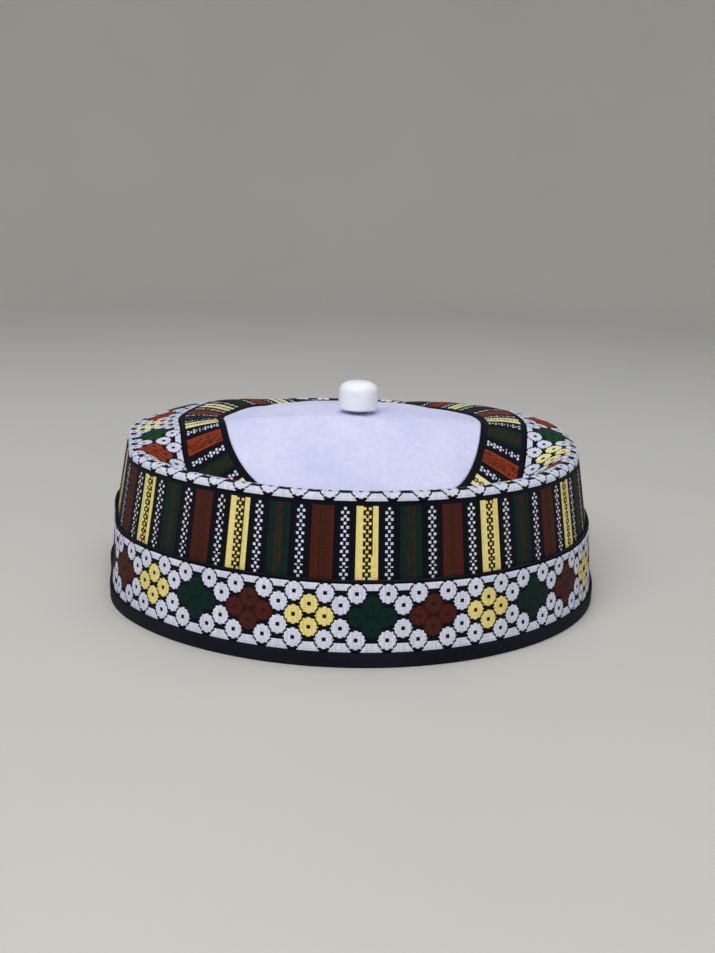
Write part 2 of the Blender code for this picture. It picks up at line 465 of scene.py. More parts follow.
@dataclass(frozen=True)
class PlainClothFinish:
    """Plain woven cotton with soft mottling, a fine over-and-under weave with painted shade where its
    threads dip under, and faint rubbed places.
    """

    name: str
    colour: tuple
    shade: tuple
    weave_pitch: float
    relief: float
    roughness: float = 0.85
    sheen: float = 0.02
    mottle: float = 1.0
    crumple: float = 0.0

    def make(self) -> bpy.types.Material:
        """Lay out the material's nodes."""
        kit = NodeKit(self.name)
        place = kit.place()
        turn = 2.0 * math.pi / self.weave_pitch
        warp, weft = (kit.math("SINE", kit.math("MULTIPLY", way, turn)) for way in kit.weave())
        over = kit.math("MULTIPLY", warp, weft)
        broad = kit.noise(place, 38.0, 3.0)
        fine = kit.noise(place, 420.0, 4.0)
        slub = kit.noise(place, 1500.0, 2.0)
        mottling = kit.plus(kit.math("MULTIPLY", fine, 0.35), broad, 0.65)
        tone = kit.mix(kit.spread(mottling, 0.38, 0.62, 0.0, self.mottle), self.colour, self.shade)
        # Painted shade: the colour darkens where the weave's threads dip under; the slub noise adds random
        # tone.
        kit.paint(tone, kit.spread(kit.plus(over, slub, 1.4), -0.6, 1.9, 0.90, 1.05))
        height = kit.plus(kit.plus(over, slub, 1.6), kit.noise(place, 190.0, 4.0), self.crumple)
        kit.bump(height, self.relief, 0.8)
        rough = kit.spread(fine, *NOISE_SPAN, self.roughness - 0.08, self.roughness + 0.05)
        kit.surface({"Roughness": rough})
        kit.cloth(self.roughness, self.sheen)
        return kit.material


@dataclass(frozen=True)
class ButtonFinish:
    """White button: a soft gloss, faint turning lines and slightly yellowed scuffs."""

    name: str = "button_shell"
    colour: tuple = (0.93, 0.94, 1.0)
    scuff: tuple = (0.82, 0.81, 0.86)

    def make(self) -> bpy.types.Material:
        """Lay out the material's nodes."""
        kit = NodeKit(self.name)
        place = kit.place()
        stretch = kit.node("ShaderNodeMapping", {0: place})
        stretch.inputs["Scale"].default_value = (1.0, 1.0, 9.0)
        lines = kit.noise(stretch.outputs[0], 240.0, 4.0)
        worn = kit.noise(place, 170.0, 5.0)
        kit.surface({
            "Base Color": kit.mix(kit.spread(worn, 0.52, 0.75, 0.0, 0.55), self.colour, self.scuff),
            "Roughness": kit.spread(worn, *NOISE_SPAN, 0.38, 0.58),
            "Coat Weight": 0.15,
        })
        kit.bump(lines, 0.06 * MM, 0.5)
        return kit.material


@dataclass(frozen=True)
class FloorFinish:
    """Pale matt paper for the floor and backdrop."""

    name: str = "pale_floor"
    colour: tuple = (0.62, 0.60, 0.55)

    def make(self) -> bpy.types.Material:
        """Lay out the material's nodes."""
        kit = NodeKit(self.name)
        share = kit.spread(kit.noise(kit.place(), 5.0, 4.0), 0.35, 0.65, 0.0, 1.0)
        darker = tuple(0.97 * part for part in self.colour)
        kit.surface({"Base Color": kit.mix(share, self.colour, darker), "Roughness": 0.9})
        return kit.material


Finish = WovenFinish | PlainClothFinish | ButtonFinish | FloorFinish


def arc(centre: tuple, radius: float, start: float, end: float, steps: int) -> list:
    """Points of a profile along an arc, in equal steps between two angles in degrees."""
    angles = np.radians(np.linspace(start, end, steps + 1))
    return [(centre[0] + radius * math.cos(a), centre[1] + radius * math.sin(a)) for a in angles]


def straight(start: tuple, end: tuple, steps: int) -> list:
    """Evenly spaced points from start to end, both kept."""
    shares = [step / steps for step in range(steps + 1)]
    return [tuple(a + (b - a) * share for a, b in zip(start, end)) for share in shares]


def outline_length(outline: list, closed: bool = True) -> float:
    """Length of an outline, with the way back to its start if it is closed."""
    following = outline[1:] + outline[:1] if closed else outline[1:]
    return sum(math.dist(a, b) for a, b in zip(outline, following))


def linked(name: str, shape: bmesh.types.BMesh) -> bpy.types.Object:
    """Make a finished bmesh into an object of the scene.

    Args:
        name: the object's name.
        shape: the bmesh, which is freed.

    Returns:
        The object.
    """
    bmesh.ops.recalc_face_normals(shape, faces=shape.faces[:])
    mesh = bpy.data.meshes.new(name)
    shape.to_mesh(mesh)
    shape.free()
    piece = bpy.data.objects.new(name, mesh)
    bpy.context.scene.collection.objects.link(piece)
    return piece


def smooth(piece: bpy.types.Object, finish: Finish, sharp: float = 0.0) -> None:
    """Drop a turned piece's run attribute, smooth the piece and give it its finish.

    Args:
        piece: the object.
        finish: what its material is made by.
        sharp: angle in degrees from which an edge stays sharp, or 0 for none.
    """
    run = piece.data.attributes.get(RUN_LAYER)
    if run:
        piece.data.attributes.remove(run)
    piece.data.shade_smooth()
    if sharp:
        piece.data.set_sharp_from_angle(angle=math.radians(sharp))
    piece.data.materials.append(finish.make())


def dress(piece: bpy.types.Object, finish: Finish, node: str = "",
          sharp: float = 0.0) -> bpy.types.Object:
    """Smooth and finish a piece that rides on the cap, and hide the solid that it stands for, if any.

    Args:
        piece: the object.
        finish: what its material is made by.
        node: the solid that it stands for, if any.
        sharp: angle in degrees from which an edge stays sharp, or 0 for none.

    Returns:
        The same object.
    """
    smooth(piece, finish, sharp)
    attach(piece, "root")
    if node:
        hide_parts(node)
    return piece


@dataclass
class Turned:
    """A mesh turned round the Z axis from the back, each vertex keeping its run along the profile."""

    name: str
    profile: list
    columns: int
    closed: bool = True

    def build(self) -> bpy.types.Object:
        """Spin the profile and return the object.

        Returns:
            A linked object whose vertices carry the profile's run as an attribute.
        """
        shape = bmesh.new()
        run = shape.verts.layers.float.new(RUN_LAYER)
        points = []
        travelled = 0.0
        previous = self.profile[0]
        for radius, height in self.profile:
            travelled += math.dist(previous, (radius, height))
            previous = (radius, height)
            point = shape.verts.new((0.0, radius, height))
            point[run] = travelled
            points.append(point)
        following = points[1:] + points[:1] if self.closed else points[1:]
        edges = [shape.edges.new(pair) for pair in zip(points, following)]
        self._turn(shape, points + edges)
        return linked(self.name, shape)

    def _turn(self, shape: bmesh.types.BMesh, outline: list) -> None:
        """Spin one sector, then double it round the axis, which is far quicker than one fine spin.

        Args:
            shape: the mesh that holds the outline.
            outline: its vertices and edges.
        """
        steps, sectors = self.columns, 1
        while steps % 2 == 0 and steps > SECTOR_STEPS:
            steps, sectors = steps // 2, sectors * 2
        angle = 2.0 * math.pi / sectors
        bmesh.ops.spin(shape, geom=outline, cent=(0.0, 0.0, 0.0), axis=(0.0, 0.0, 1.0),
                       angle=angle, steps=steps, use_merge=sectors == 1)
        while sectors > 1:
            whole = shape.verts[:] + shape.edges[:] + shape.faces[:]
            copied = bmesh.ops.duplicate(shape, geom=whole)["geom"]
            fresh = [part for part in copied if isinstance(part, bmesh.types.BMVert)]
            turn = Matrix.Rotation(angle, 3, "Z")
            bmesh.ops.rotate(shape, verts=fresh, cent=(0.0, 0.0, 0.0), matrix=turn)
            angle, sectors = angle * 2.0, sectors // 2
        bmesh.ops.remove_doubles(shape, verts=shape.verts[:], dist=MERGE_DISTANCE)


def read_array(items: object, key: str, width: int = 1, kind: type = float) -> np.ndarray:
    """Read one property of every item of a mesh.

    Args:
        items: a collection such as the mesh's vertices.
        key: name of the property.
        width: how many numbers it has.
        kind: type of the numbers.

    Returns:
        One value or row for each item.
    """
    values = np.empty(len(items) * width, dtype=kind)
    items.foreach_get(key, values)
    return values.reshape(-1, width) if width > 1 else values


class MeshReader:
    """Numpy views of a turned mesh: its points, its corners and where each face lies on the cloth."""

    def __init__(self, piece: bpy.types.Object) -> None:
        """Read the mesh once."""
        self.mesh = piece.data
        self.points = read_array(self.mesh.vertices, "co", 3)
        self.corners = read_array(self.mesh.loops, "vertex_index", kind=np.int32)
        self.starts = read_array(self.mesh.polygons, "loop_start", kind=np.int32)
        self.totals = read_array(self.mesh.polygons, "loop_total", kind=np.int32)
        self.run = read_array(self.mesh.attributes[RUN_LAYER].data, "value")
        self.angle = np.degrees(np.arctan2(self.points[:, 0], -self.points[:, 1]))
        self.face = np.repeat(np.arange(len(self.totals)), self.totals)

    def unwrapped(self, values: np.ndarray, period: float) -> np.ndarray:
        """Corner values in which no face spans the wrap of a period.

        Args:
            values: one value for each vertex.
            period: the length after which the values start again.

        Returns:
            One value for each corner.
        """
        corner = values[self.corners]
        highest = np.maximum.reduceat(corner, self.starts)[self.face]
        return np.where(highest - corner > period / 2.0, corner + period, corner)

    def face_mean(self, corner_values: np.ndarray) -> np.ndarray:
        """Mean of each face's corner values."""
        return np.add.reduceat(corner_values, self.starts) / self.totals

    def vertex_mean(self, face_values: np.ndarray) -> np.ndarray:
        """Mean of the values of the faces round each vertex."""
        total = np.bincount(self.corners, weights=face_values[self.face], minlength=len(self.points))
        seen = np.bincount(self.corners, minlength=len(self.points))
        return total / np.maximum(seen, 1)

    def write_points(self, points: np.ndarray) -> None:
        """Move the mesh's vertices."""
        self.mesh.vertices.foreach_set("co", points.astype(np.float32).ravel())
        self.mesh.update()

    def write_map(self, across: np.ndarray, along: np.ndarray) -> None:
        """Write a UV map in metres from corner values."""
        layer = self.mesh.uv_layers.new(name=WEAVE_MAP)
        layer.data.foreach_set("uv", np.stack([across, along], axis=1).astype(np.float32).ravel())

    def write_turned_map(self, radius: float, whole_run: float = math.inf) -> None:
        """Write a turned piece's map, true at one radius, given the length of its closed outline."""
        turn = self.unwrapped(self.angle, FULL_TURN)
        self.write_map(np.radians(turn) * radius, self.unwrapped(self.run, whole_run))

    def write_thread(self, colours: np.ndarray) -> None:
        """Write each face's colour to its corners."""
        layer = self.mesh.color_attributes.new(THREAD_ATTRIBUTE, "FLOAT_COLOR", "CORNER")
        whole = np.ones((len(self.face), 4), dtype=np.float32)
        whole[:, :3] = colours[self.face]
        layer.data.foreach_set("color", whole.ravel())


@dataclass(frozen=True)
class RosetteChart:
    """Flower cloth: rows of round rosettes on black, with a coloured medallion of four at intervals.

    Cells are threads. A lattice point is lattice_across cells from the next, and rosettes sit on
    every other one, like the black squares of a chessboard.
    """

    tints: tuple
    lattice_across: int = 12
    lattice_up: int = 9
    rows: int = 6
    middle_row: int = 3
    petal_reach: tuple = (7.4, 7.6)
    petal_size: tuple = (0.94, 0.06)
    petals: float = 12.0
    middle_half: tuple = (1.2, 1.7)
    medallion_reach: tuple = (19.0, 16.5)
    edge_height: float = 7.0
    outline: float = 1.2

    def threads(self, across: np.ndarray, up: np.ndarray, order: np.ndarray) -> np.ndarray:
        """Pick the thread of each cell.

        Args:
            across: cells from the middle of the nearest medallion.
            up: cells above the first lattice row.
            order: number of the nearest medallion, which gives its colour.

        Returns:
            One thread number for each cell.
        """
        picked = np.full(across.shape, strand(Thread.GROUND))
        share = np.abs(across) / self.medallion_reach[0]
        share = share + np.abs(up - self.middle_row * self.lattice_up) / self.medallion_reach[1]
        for number, tint in enumerate(self.tints):
            here = (order % len(self.tints) == number) & (share < 1.0)
            picked[here] = strand(tint.fill)
        base_across = np.floor(across / self.lattice_across)
        base_up = np.floor(up / self.lattice_up)
        for step_across in (0, 1):
            for step_up in (0, 1):
                column = base_across + step_across
                row = base_up + step_up
                x = across - column * self.lattice_across
                y = up - row * self.lattice_up
                taken = ((column + row) % 2 == 0) & (row > 0) & (row < self.rows)
                self._rosette(picked, taken, x, y, column, row, order)
                edge = ((column + row) % 2 == 0) & ((row <= 0) | (row >= self.rows))
                half_rosette = edge & (np.abs(y) < self.edge_height) & self._apart(x, y)
                picked[half_rosette] = strand(Thread.WHITE)
        return picked

    def _apart(self, x: np.ndarray, y: np.ndarray) -> np.ndarray:
        """True inside the black outline that parts a lattice point from its four neighbours."""
        spacing = math.hypot(self.lattice_across, self.lattice_up)
        towards = (self.lattice_across * np.abs(x) + self.lattice_up * np.abs(y)) / spacing
        return towards < (spacing - self.outline) / 2.0

    def _rosette(self, picked: np.ndarray, taken: np.ndarray, x: np.ndarray, y: np.ndarray,
                 column: np.ndarray, row: np.ndarray, order: np.ndarray) -> None:
        """Work the rosettes of one lattice corner into the picked threads."""
        reach = np.hypot(x / self.petal_reach[0], y / self.petal_reach[1])
        petals = self.petal_size[0] + self.petal_size[1] * np.cos(self.petals * np.arctan2(y, x))
        inside = taken & (reach < petals) & self._apart(x, y)
        middle = inside & (np.abs(x) < self.middle_half[0]) & (np.abs(y) < self.middle_half[1])
        upright = (column == 0) & (np.abs(row - self.middle_row) == 1)
        sideways = (np.abs(column) == 1) & (row == self.middle_row)
        coloured = upright | sideways
        picked[inside & ~coloured] = strand(Thread.WHITE)
        picked[middle & ~coloured] = strand(Thread.GROUND)
        for number, tint in enumerate(self.tints):
            own = order % len(self.tints) == number
            picked[inside & own & upright] = strand(tint.upright)
            picked[inside & own & sideways] = strand(tint.sideways)
            picked[middle & own & coloured] = strand(tint.middle)


@dataclass(frozen=True)
class MedallionTint:
    """Threads of a medallion: its ground between petals, its two pairs of rosettes, their middles."""

    fill: Thread
    upright: Thread
    sideways: Thread
    middle: Thread


@dataclass(frozen=True)
class BarChart:
    """Striped cloth: coloured bars with a worked middle on black, and a white chain between bars."""

    order: tuple
    yellow: Thread
    chain_pitch: float = 2.52 * MM
    dot: float = 0.88 * MM
    seed: int = 17
    side_share: float = 0.62
    dot_share: float = 0.48

    def threads(self, across: np.ndarray, along: np.ndarray, bar_half: float, chain_side: float,
                kind: np.ndarray, on_chain: np.ndarray, ends: tuple, mirrored: float) -> np.ndarray:
        """Pick the thread of each cell.

        Args:
            across: distance in metres from the middle of the nearest bar or chain.
            along: distance in metres from the first end of the bars.
            bar_half: half a bar's width.
            chain_side: distance from a chain's middle to its side dots.
            kind: number of the bar's colour, in order.
            on_chain: true where the nearest is a chain.
            ends: where bars start and end along.
            mirrored: where a pair of side dots lies along.

        Returns:
            One thread number for each cell.
        """
        picked = np.full(across.shape, strand(Thread.GROUND))
        inside = (along > ends[0]) & (along < ends[1])
        along = along - mirrored
        side = self._dots(np.abs(across) - chain_side, along)
        centre = self._dots(across, along - self.chain_pitch / 2.0)
        picked[on_chain & inside & (side | centre)] = strand(Thread.WHITE)
        on_bar = ~on_chain & inside & (np.abs(across) < bar_half)
        flecks = np.random.default_rng(self.seed).random(across.shape)
        for number, bar in enumerate(self.order):
            own = on_bar & (kind == number)
            picked[own] = strand(bar.cloth)
            worked = own & (np.abs(across) < bar.worked_half)
            picked[worked & (flecks >= bar.fleck)] = strand(bar.worked)
            if bar.checked:
                off_side = np.abs(across) - self.side_share * bar.worked_half
                checks = self._dots(off_side, along - self.chain_pitch / 2.0) | self._dots(across, along)
                picked[worked & checks] = strand(self.yellow)
        return picked

    def _dots(self, across: np.ndarray, along: np.ndarray) -> np.ndarray:
        """True on a row of small round dots along a line."""
        step = (along + self.chain_pitch / 2.0) % self.chain_pitch - self.chain_pitch / 2.0
        return (np.abs(across) < self.dot / 2.0) & (np.abs(step) < self.dot_share * self.dot)


@dataclass(frozen=True)
class Bar:
    """One coloured bar: its cloth, its worked middle, the share left unworked, if it is checked."""

    cloth: Thread
    worked: Thread
    worked_half: float
    fleck: float = 0.0
    checked: bool = False


@dataclass
class WovenPanel:
    """A turned piece of woven cloth whose threads follow a chart."""

    shape: CapShape
    soft: SoftSet
    name: str = "panel"
    node: str = ""
    slot: str = ""
    columns: int = 1440
    relief: float = 0.12 * MM
    seed: int = 3
    stitch_tone: float = 0.05
    column_tone: float = 0.06
    tone_range: tuple = (0.78, 1.15)
    sharp: float = 50.0
    pressed: bool = False
    visible: tuple = (0.0, 1.0)

    def profile(self) -> list:
        """Closed outline of the panel's cross-section, the outer face first."""
        raise NotImplementedError

    def chart(self, angle: np.ndarray, run: np.ndarray) -> np.ndarray:
        """Thread number at each angle round the cap and run along the profile."""
        raise NotImplementedError

    def reference_radius(self) -> float:
        """Radius at which the map's metres across are true."""
        return self.shape.rim_radius

    def build(self, finish: WovenFinish) -> bpy.types.Object:
        """Turn, chart, settle and dress the panel.

        Args:
            finish: the woven finish.

        Returns:
            The finished piece, riding on the cap and standing for its solid.
        """
        outline = self.profile()
        piece = Turned(self.name, outline, self.columns).build()
        reader = MeshReader(piece)
        turn = reader.unwrapped(reader.angle, FULL_TURN)
        run = reader.unwrapped(reader.run, outline_length(outline))
        face_turn = wrapped(reader.face_mean(turn))
        face_run = reader.face_mean(run)
        shown = (face_run > self.visible[0]) & (face_run < self.visible[1])
        threads = self.chart(face_turn, face_run)
        threads[~shown] = strand(Thread.GROUND)
        reader.write_map(np.radians(turn) * self.reference_radius(), run)
        reader.write_thread(self._toned(threads, face_turn))
        self._raise(reader, threads, shown)
        return dress(piece, finish, self.node, self.sharp)

    def _toned(self, threads: np.ndarray, turn: np.ndarray) -> np.ndarray:
        """Colour of each face, every stitch and every upright thread toned a little differently."""
        draw = np.random.default_rng(self.seed)
        tone = draw.normal(1.0, self.stitch_tone, len(threads))
        column = np.floor((turn + FULL_TURN / 2.0) * self.columns / FULL_TURN).astype(int) % self.columns
        tone *= draw.normal(1.0, self.column_tone, self.columns)[column]
        return np.clip(THREAD_COLOURS[threads] * np.clip(tone, *self.tone_range)[:, None], 0.0, 1.0)

    def _raise(self, reader: MeshReader, threads: np.ndarray, shown: np.ndarray) -> None:
        """Lift the coloured floats off the ground, press in the crown and settle the cloth."""
        lift = reader.vertex_mean(np.where(shown, RAISED[threads], 0.0)) * self.relief
        normals = read_array(reader.mesh.vertex_normals, "vector", 3)
        points = reader.points + normals * lift[:, None]
        if self.pressed:
            points[:, 2] -= self.shape.dent(points[:, 0], points[:, 1])
        reader.write_points(self.soft.settle(points))


WALL_TINTS = (
    MedallionTint(Thread.GREEN_DEEP, Thread.GREEN, Thread.GREEN, Thread.GREEN_DEEP),
    MedallionTint(Thread.MAROON_DEEP, Thread.MAROON_BROWN, Thread.MAROON, Thread.MAROON_DEEP),
    MedallionTint(Thread.GROUND, Thread.YELLOW, Thread.YELLOW, Thread.BROWN_BLACK),
)
# The crown's medallions take the lighter copies of the wall's threads: painted light from above.
CROWN_TINTS = (
    MedallionTint(Thread.CROWN_LIT_MAROON_DEEP, Thread.CROWN_LIT_MAROON, Thread.CROWN_LIT_MAROON, Thread.MAROON_DEEP),
    MedallionTint(Thread.GROUND, Thread.CROWN_LIT_YELLOW, Thread.CROWN_LIT_YELLOW, Thread.BROWN_BLACK),
    MedallionTint(Thread.CROWN_LIT_GREEN_DEEP, Thread.CROWN_LIT_GREEN, Thread.CROWN_LIT_GREEN, Thread.GREEN_DEEP),
)
WALL_BARS = (
    Bar(Thread.YELLOW, Thread.BROWN_BLACK, 1.55 * MM, checked=True),
    Bar(Thread.GREEN, Thread.RUST, 1.25 * MM, fleck=0.45),
    Bar(Thread.MAROON, Thread.OLIVE, 1.25 * MM, fleck=0.40),
)
# The crown's bars take the lighter copies of the wall's threads: painted light from above.
CROWN_BARS = (
    Bar(Thread.CROWN_LIT_YELLOW, Thread.BROWN_BLACK, 0.95 * MM, checked=True),
    Bar(Thread.CROWN_LIT_MAROON, Thread.MAROON_BROWN, 2.3 * MM, fleck=0.62),
    Bar(Thread.CROWN_LIT_GREEN_DEEP, Thread.RUST, 1.7 * MM, fleck=0.55),
)


@dataclass
class FlowerCloth(WovenPanel):
    """Woven piece with rosettes, its medallions at one step round the cap."""

    slot: str = "flower_weave"
    row: float = 0.431 * MM
    lattice_start: float = 0.0
    medallion_at: float = 0.0
    medallion_step: float = 12.0
    tints: tuple = WALL_TINTS

    def order(self, number: np.ndarray) -> np.ndarray:
        """Place in the order of colours of each medallion."""
        return number

    def chart(self, angle: np.ndarray, run: np.ndarray) -> np.ndarray:
        """Rosettes and medallions, in whole threads from the nearest medallion's middle."""
        number = np.rint((angle - self.medallion_at) / self.medallion_step)
        cell = FULL_TURN / self.columns
        across = np.rint((angle - self.medallion_at - number * self.medallion_step) / cell)
        up = np.rint((run - self.lattice_start) / self.row)
        return RosetteChart(self.tints).threads(across, up, self.order(number))


@dataclass
class StripeCloth(WovenPanel):
    """Woven piece with bars and chains in turn, and a plain seam at the back."""

    slot: str = "stripe_weave"
    cycle: float = 26.64
    yellow_at: float = 4.2
    seam_at: float = 177.5
    chain_side: float = 0.62 * MM
    ends: tuple = (0.0, 1.0)
    mirrored: float = 0.0
    bars: BarChart = BarChart(WALL_BARS, Thread.YELLOW)

    def work(self, angle: np.ndarray, radius: np.ndarray, along: np.ndarray,
             bar_half: np.ndarray) -> np.ndarray:
        """Work the bars and chains.

        Args:
            angle: degrees from the front.
            radius: distance of each face from the axis.
            along: distance in metres from the bars' first end.
            bar_half: half a bar's width.

        Returns:
            One thread number for each face.
        """
        step = self.cycle / 6.0
        number = np.rint((angle - self.yellow_at) / step)
        across = (angle - self.yellow_at - number * step) * np.radians(radius)
        kind = np.floor(number / 2.0) % 3
        picked = self.bars.threads(across, along, bar_half, self.chain_side, kind, number % 2 == 1,
                                   self.ends, self.mirrored)
        picked[np.abs(angle) > self.seam_at] = strand(Thread.GROUND)
        return picked


@dataclass
class FlowerBand(FlowerCloth):
    """Lower side band, with its foot inside the hem binding."""

    name: str = "flower_band_cloth"
    node: str = "flower_band"
    lattice_start: float = 0.36 * MM
    medallion_at: float = 5.3
    round_edge: float = 0.45 * MM

    def profile(self) -> list:
        """Outer face from the hem up, over the rounded top edge and down inside."""
        shape = self.shape
        foot = shape.hem_fold + shape.seam_gap
        top = shape.flower_top
        outer_foot = shape.foot_inner + shape.band_cloth
        outer_top = shape.flower_top_inner + shape.band_cloth
        rows = round((top - shape.hem_height) / self.row)
        face = straight((outer_foot, shape.hem_height), (outer_top, top - self.round_edge), rows - 1)
        self.visible = (0.0, math.dist(face[0], face[-1]) + 0.5 * MM)
        over = [(outer_top - 0.15 * MM, top - 0.1 * MM), (outer_top - self.round_edge, top),
                (shape.flower_top_inner + 0.2 * MM, top)]
        inside = straight((shape.flower_top_inner, top - 0.2 * MM), (shape.foot_inner, shape.hem_height), 4)
        return face + over + inside + [(shape.foot_inner, foot), (outer_foot, foot)]

    def reference_radius(self) -> float:
        """Radius at the foot of the band."""
        return self.shape.foot_inner


@dataclass
class StripeBand(StripeCloth):
    """Upper side band, lapped behind the flower band."""

    name: str = "stripe_band_cloth"
    node: str = "stripe_band"
    columns: int = 1296
    seed: int = 5
    row: float = 0.43 * MM
    chain_side: float = 0.62 * DEGREE_ON_WALL
    bar_half: float = 2.3 * DEGREE_ON_WALL
    ends: tuple = (0.8 * MM, 24.7 * MM)
    mirrored: float = 22.6 * MM
    upright: float = 0.985

    def profile(self) -> list:
        """Outer face from the lap up to the rim, then down inside."""
        shape = self.shape
        lap_slope = shape.flower_lean / (shape.flower_top - shape.hem_height)
        lap = (shape.stripe_foot + shape.band_lap * lap_slope, shape.flower_top - shape.band_lap)
        foot = (shape.stripe_foot, shape.flower_top)
        rim = (shape.rim_radius, shape.wall_height)
        face = straight(foot, rim, round((rim[1] - foot[1]) / self.row))
        self.visible = (0.0, math.dist(foot, rim))
        cloth = shape.band_cloth
        inside = straight((rim[0] - cloth, rim[1]), (foot[0] - cloth, foot[1]), 5)
        return face + inside + [(lap[0] - cloth, lap[1]), lap]

    def chart(self, angle: np.ndarray, run: np.ndarray) -> np.ndarray:
        """Upright bars and chains of one width."""
        shape = self.shape
        radius = shape.stripe_foot - run / (shape.wall_height - shape.flower_top) * shape.stripe_lean
        return self.work(angle, radius, run * self.upright, self.bar_half)


@dataclass
class CrownFlowerRing(FlowerCloth):
    """Outer crown ring of flower cloth, rolled down over the rim."""

    name: str = "crown_flower_cloth"
    node: str = "crown_flower_ring"
    columns: int = 1344
    pressed: bool = True
    seed: int = 7
    medallion_at: float = -0.5
    medallion_step: float = FULL_TURN / 28.0
    tints: tuple = CROWN_TINTS
    colour_shifts: tuple = (5, 4)

    def profile(self) -> list:
        """Outer face from the rim seam over the roll and in, then the underside back."""
        shape = self.shape
        centre = (shape.dome_radius, shape.rim_seam)
        roll = arc(centre, shape.roll_radius, 0.0, 90.0, 10)
        face = roll + shape.dome(np.linspace(shape.dome_radius, shape.flower_ring_inner, 44))[1:]
        self.visible = (0.0, outline_length(face, closed=False) - 0.5 * MM)
        under = shape.dome(np.linspace(shape.flower_ring_inner, shape.dome_radius, 7), shape.crown_cloth)
        roll_under = arc(centre, shape.roll_radius - shape.crown_cloth, 90.0, 0.0, 3)
        return face + under + roll_under[1:]

    def order(self, number: np.ndarray) -> np.ndarray:
        """Colours set off from the front on each side."""
        left, right = self.colour_shifts
        return np.where(number > 0, number + right, number + left)


@dataclass
class CrownStripeRing(StripeCloth):
    """Middle crown ring of striped cloth, its bars lying radially."""

    name: str = "crown_stripe_cloth"
    node: str = "crown_stripe_ring"
    columns: int = 1152
    pressed: bool = True
    seed: int = 11
    cycle: float = 34.5
    yellow_at: float = 60.0
    seam_at: float = 177.0
    bar_share: float = 0.26
    ends: tuple = (1.7 * MM, 15.5 * MM)
    mirrored: float = 2.4 * MM
    bars: BarChart = BarChart(CROWN_BARS, Thread.CROWN_LIT_YELLOW, dot=0.85 * MM)

    def profile(self) -> list:
        """Top face from the outside in, then the underside back."""
        shape = self.shape
        face = shape.dome(np.linspace(shape.stripe_ring_outer, shape.stripe_ring_inner, 44))
        self.visible = (0.0, outline_length(face, closed=False))
        under_radii = np.linspace(shape.stripe_ring_inner, shape.stripe_ring_outer, 7)
        return face + shape.dome(under_radii, shape.crown_cloth)

    def chart(self, angle: np.ndarray, run: np.ndarray) -> np.ndarray:
        """Bars and chains that narrow towards the disc."""
        radius = self.shape.stripe_ring_outer - run
        return self.work(angle, radius, run, self.bar_share * np.radians(self.cycle / 3.0) * radius)


@dataclass
class CrownDisc:
    """White cloth in the middle of the crown, with faint creases and puckers round the button."""

    shape: CapShape
    soft: SoftSet
    columns: int = 256
    steps: int = 84
    crease: float = 0.22 * MM
    fold_at: float = -8.5 * MM
    fold_sweep: float = -0.14
    fold_height: float = 0.8 * MM
    fold_width: float = 2.3 * MM
    edge_drop: float = 0.35 * MM
    puckers: float = 9.0
    pucker_at: float = 11.0 * MM
    pucker_width: float = 5.0 * MM
    edge_held: tuple = (42.0 * MM, 51.0 * MM)
    button_clear: tuple = (5.0 * MM, 9.0 * MM)

    def build(self, finish: PlainClothFinish) -> bpy.types.Object:
        """Turn, crease, press in and dress the disc.

        Args:
            finish: the white cloth.

        Returns:
            The finished piece.
        """
        shape = self.shape
        top = shape.dome(np.linspace(0.0, shape.disc_radius - self.edge_drop, self.steps))
        edge = shape.dome([shape.disc_radius], self.edge_drop)
        under = shape.dome(np.linspace(shape.disc_radius, 0.0, 12), shape.crown_cloth)
        piece = Turned("crown_disc_cloth", top + edge + under, self.columns, closed=False).build()
        reader = MeshReader(piece)
        corner = reader.points[reader.corners]
        reader.write_map(corner[:, 0], corner[:, 1])
        points = reader.points.copy()
        x, y = reader.points[:, 0], reader.points[:, 1]
        points[:, 2] += self._creases(x, y) - shape.dent(x, y)
        reader.write_points(self.soft.settle(points))
        dress(piece, finish, "crown_disc", 60.0)
        return piece

    def _creases(self, x: np.ndarray, y: np.ndarray) -> np.ndarray:
        """Height of the puckers round the button, the soft creases and the fold past the button."""
        from_button = np.hypot(x - self.shape.button_offset, y)
        around = np.arctan2(y, x - self.shape.button_offset)
        puckers = np.cos(self.puckers * around + 0.8) * bell(from_button - self.pucker_at, self.pucker_width)
        drag = np.sin(3.0 * x / (9.0 * MM) + 1.5 * y / (11.0 * MM)) * np.sin(y / (6.5 * MM) + 0.7)
        hold = 1.0 - smoothstep(*self.edge_held, np.hypot(x, y))
        clear = smoothstep(*self.button_clear, from_button)
        off_fold = y - self.fold_at - self.fold_sweep * np.abs(x)
        fold = self.fold_height * bell(off_fold, self.fold_width)
        return (self.crease * (0.7 * puckers + 0.5 * drag) + fold) * hold * clear


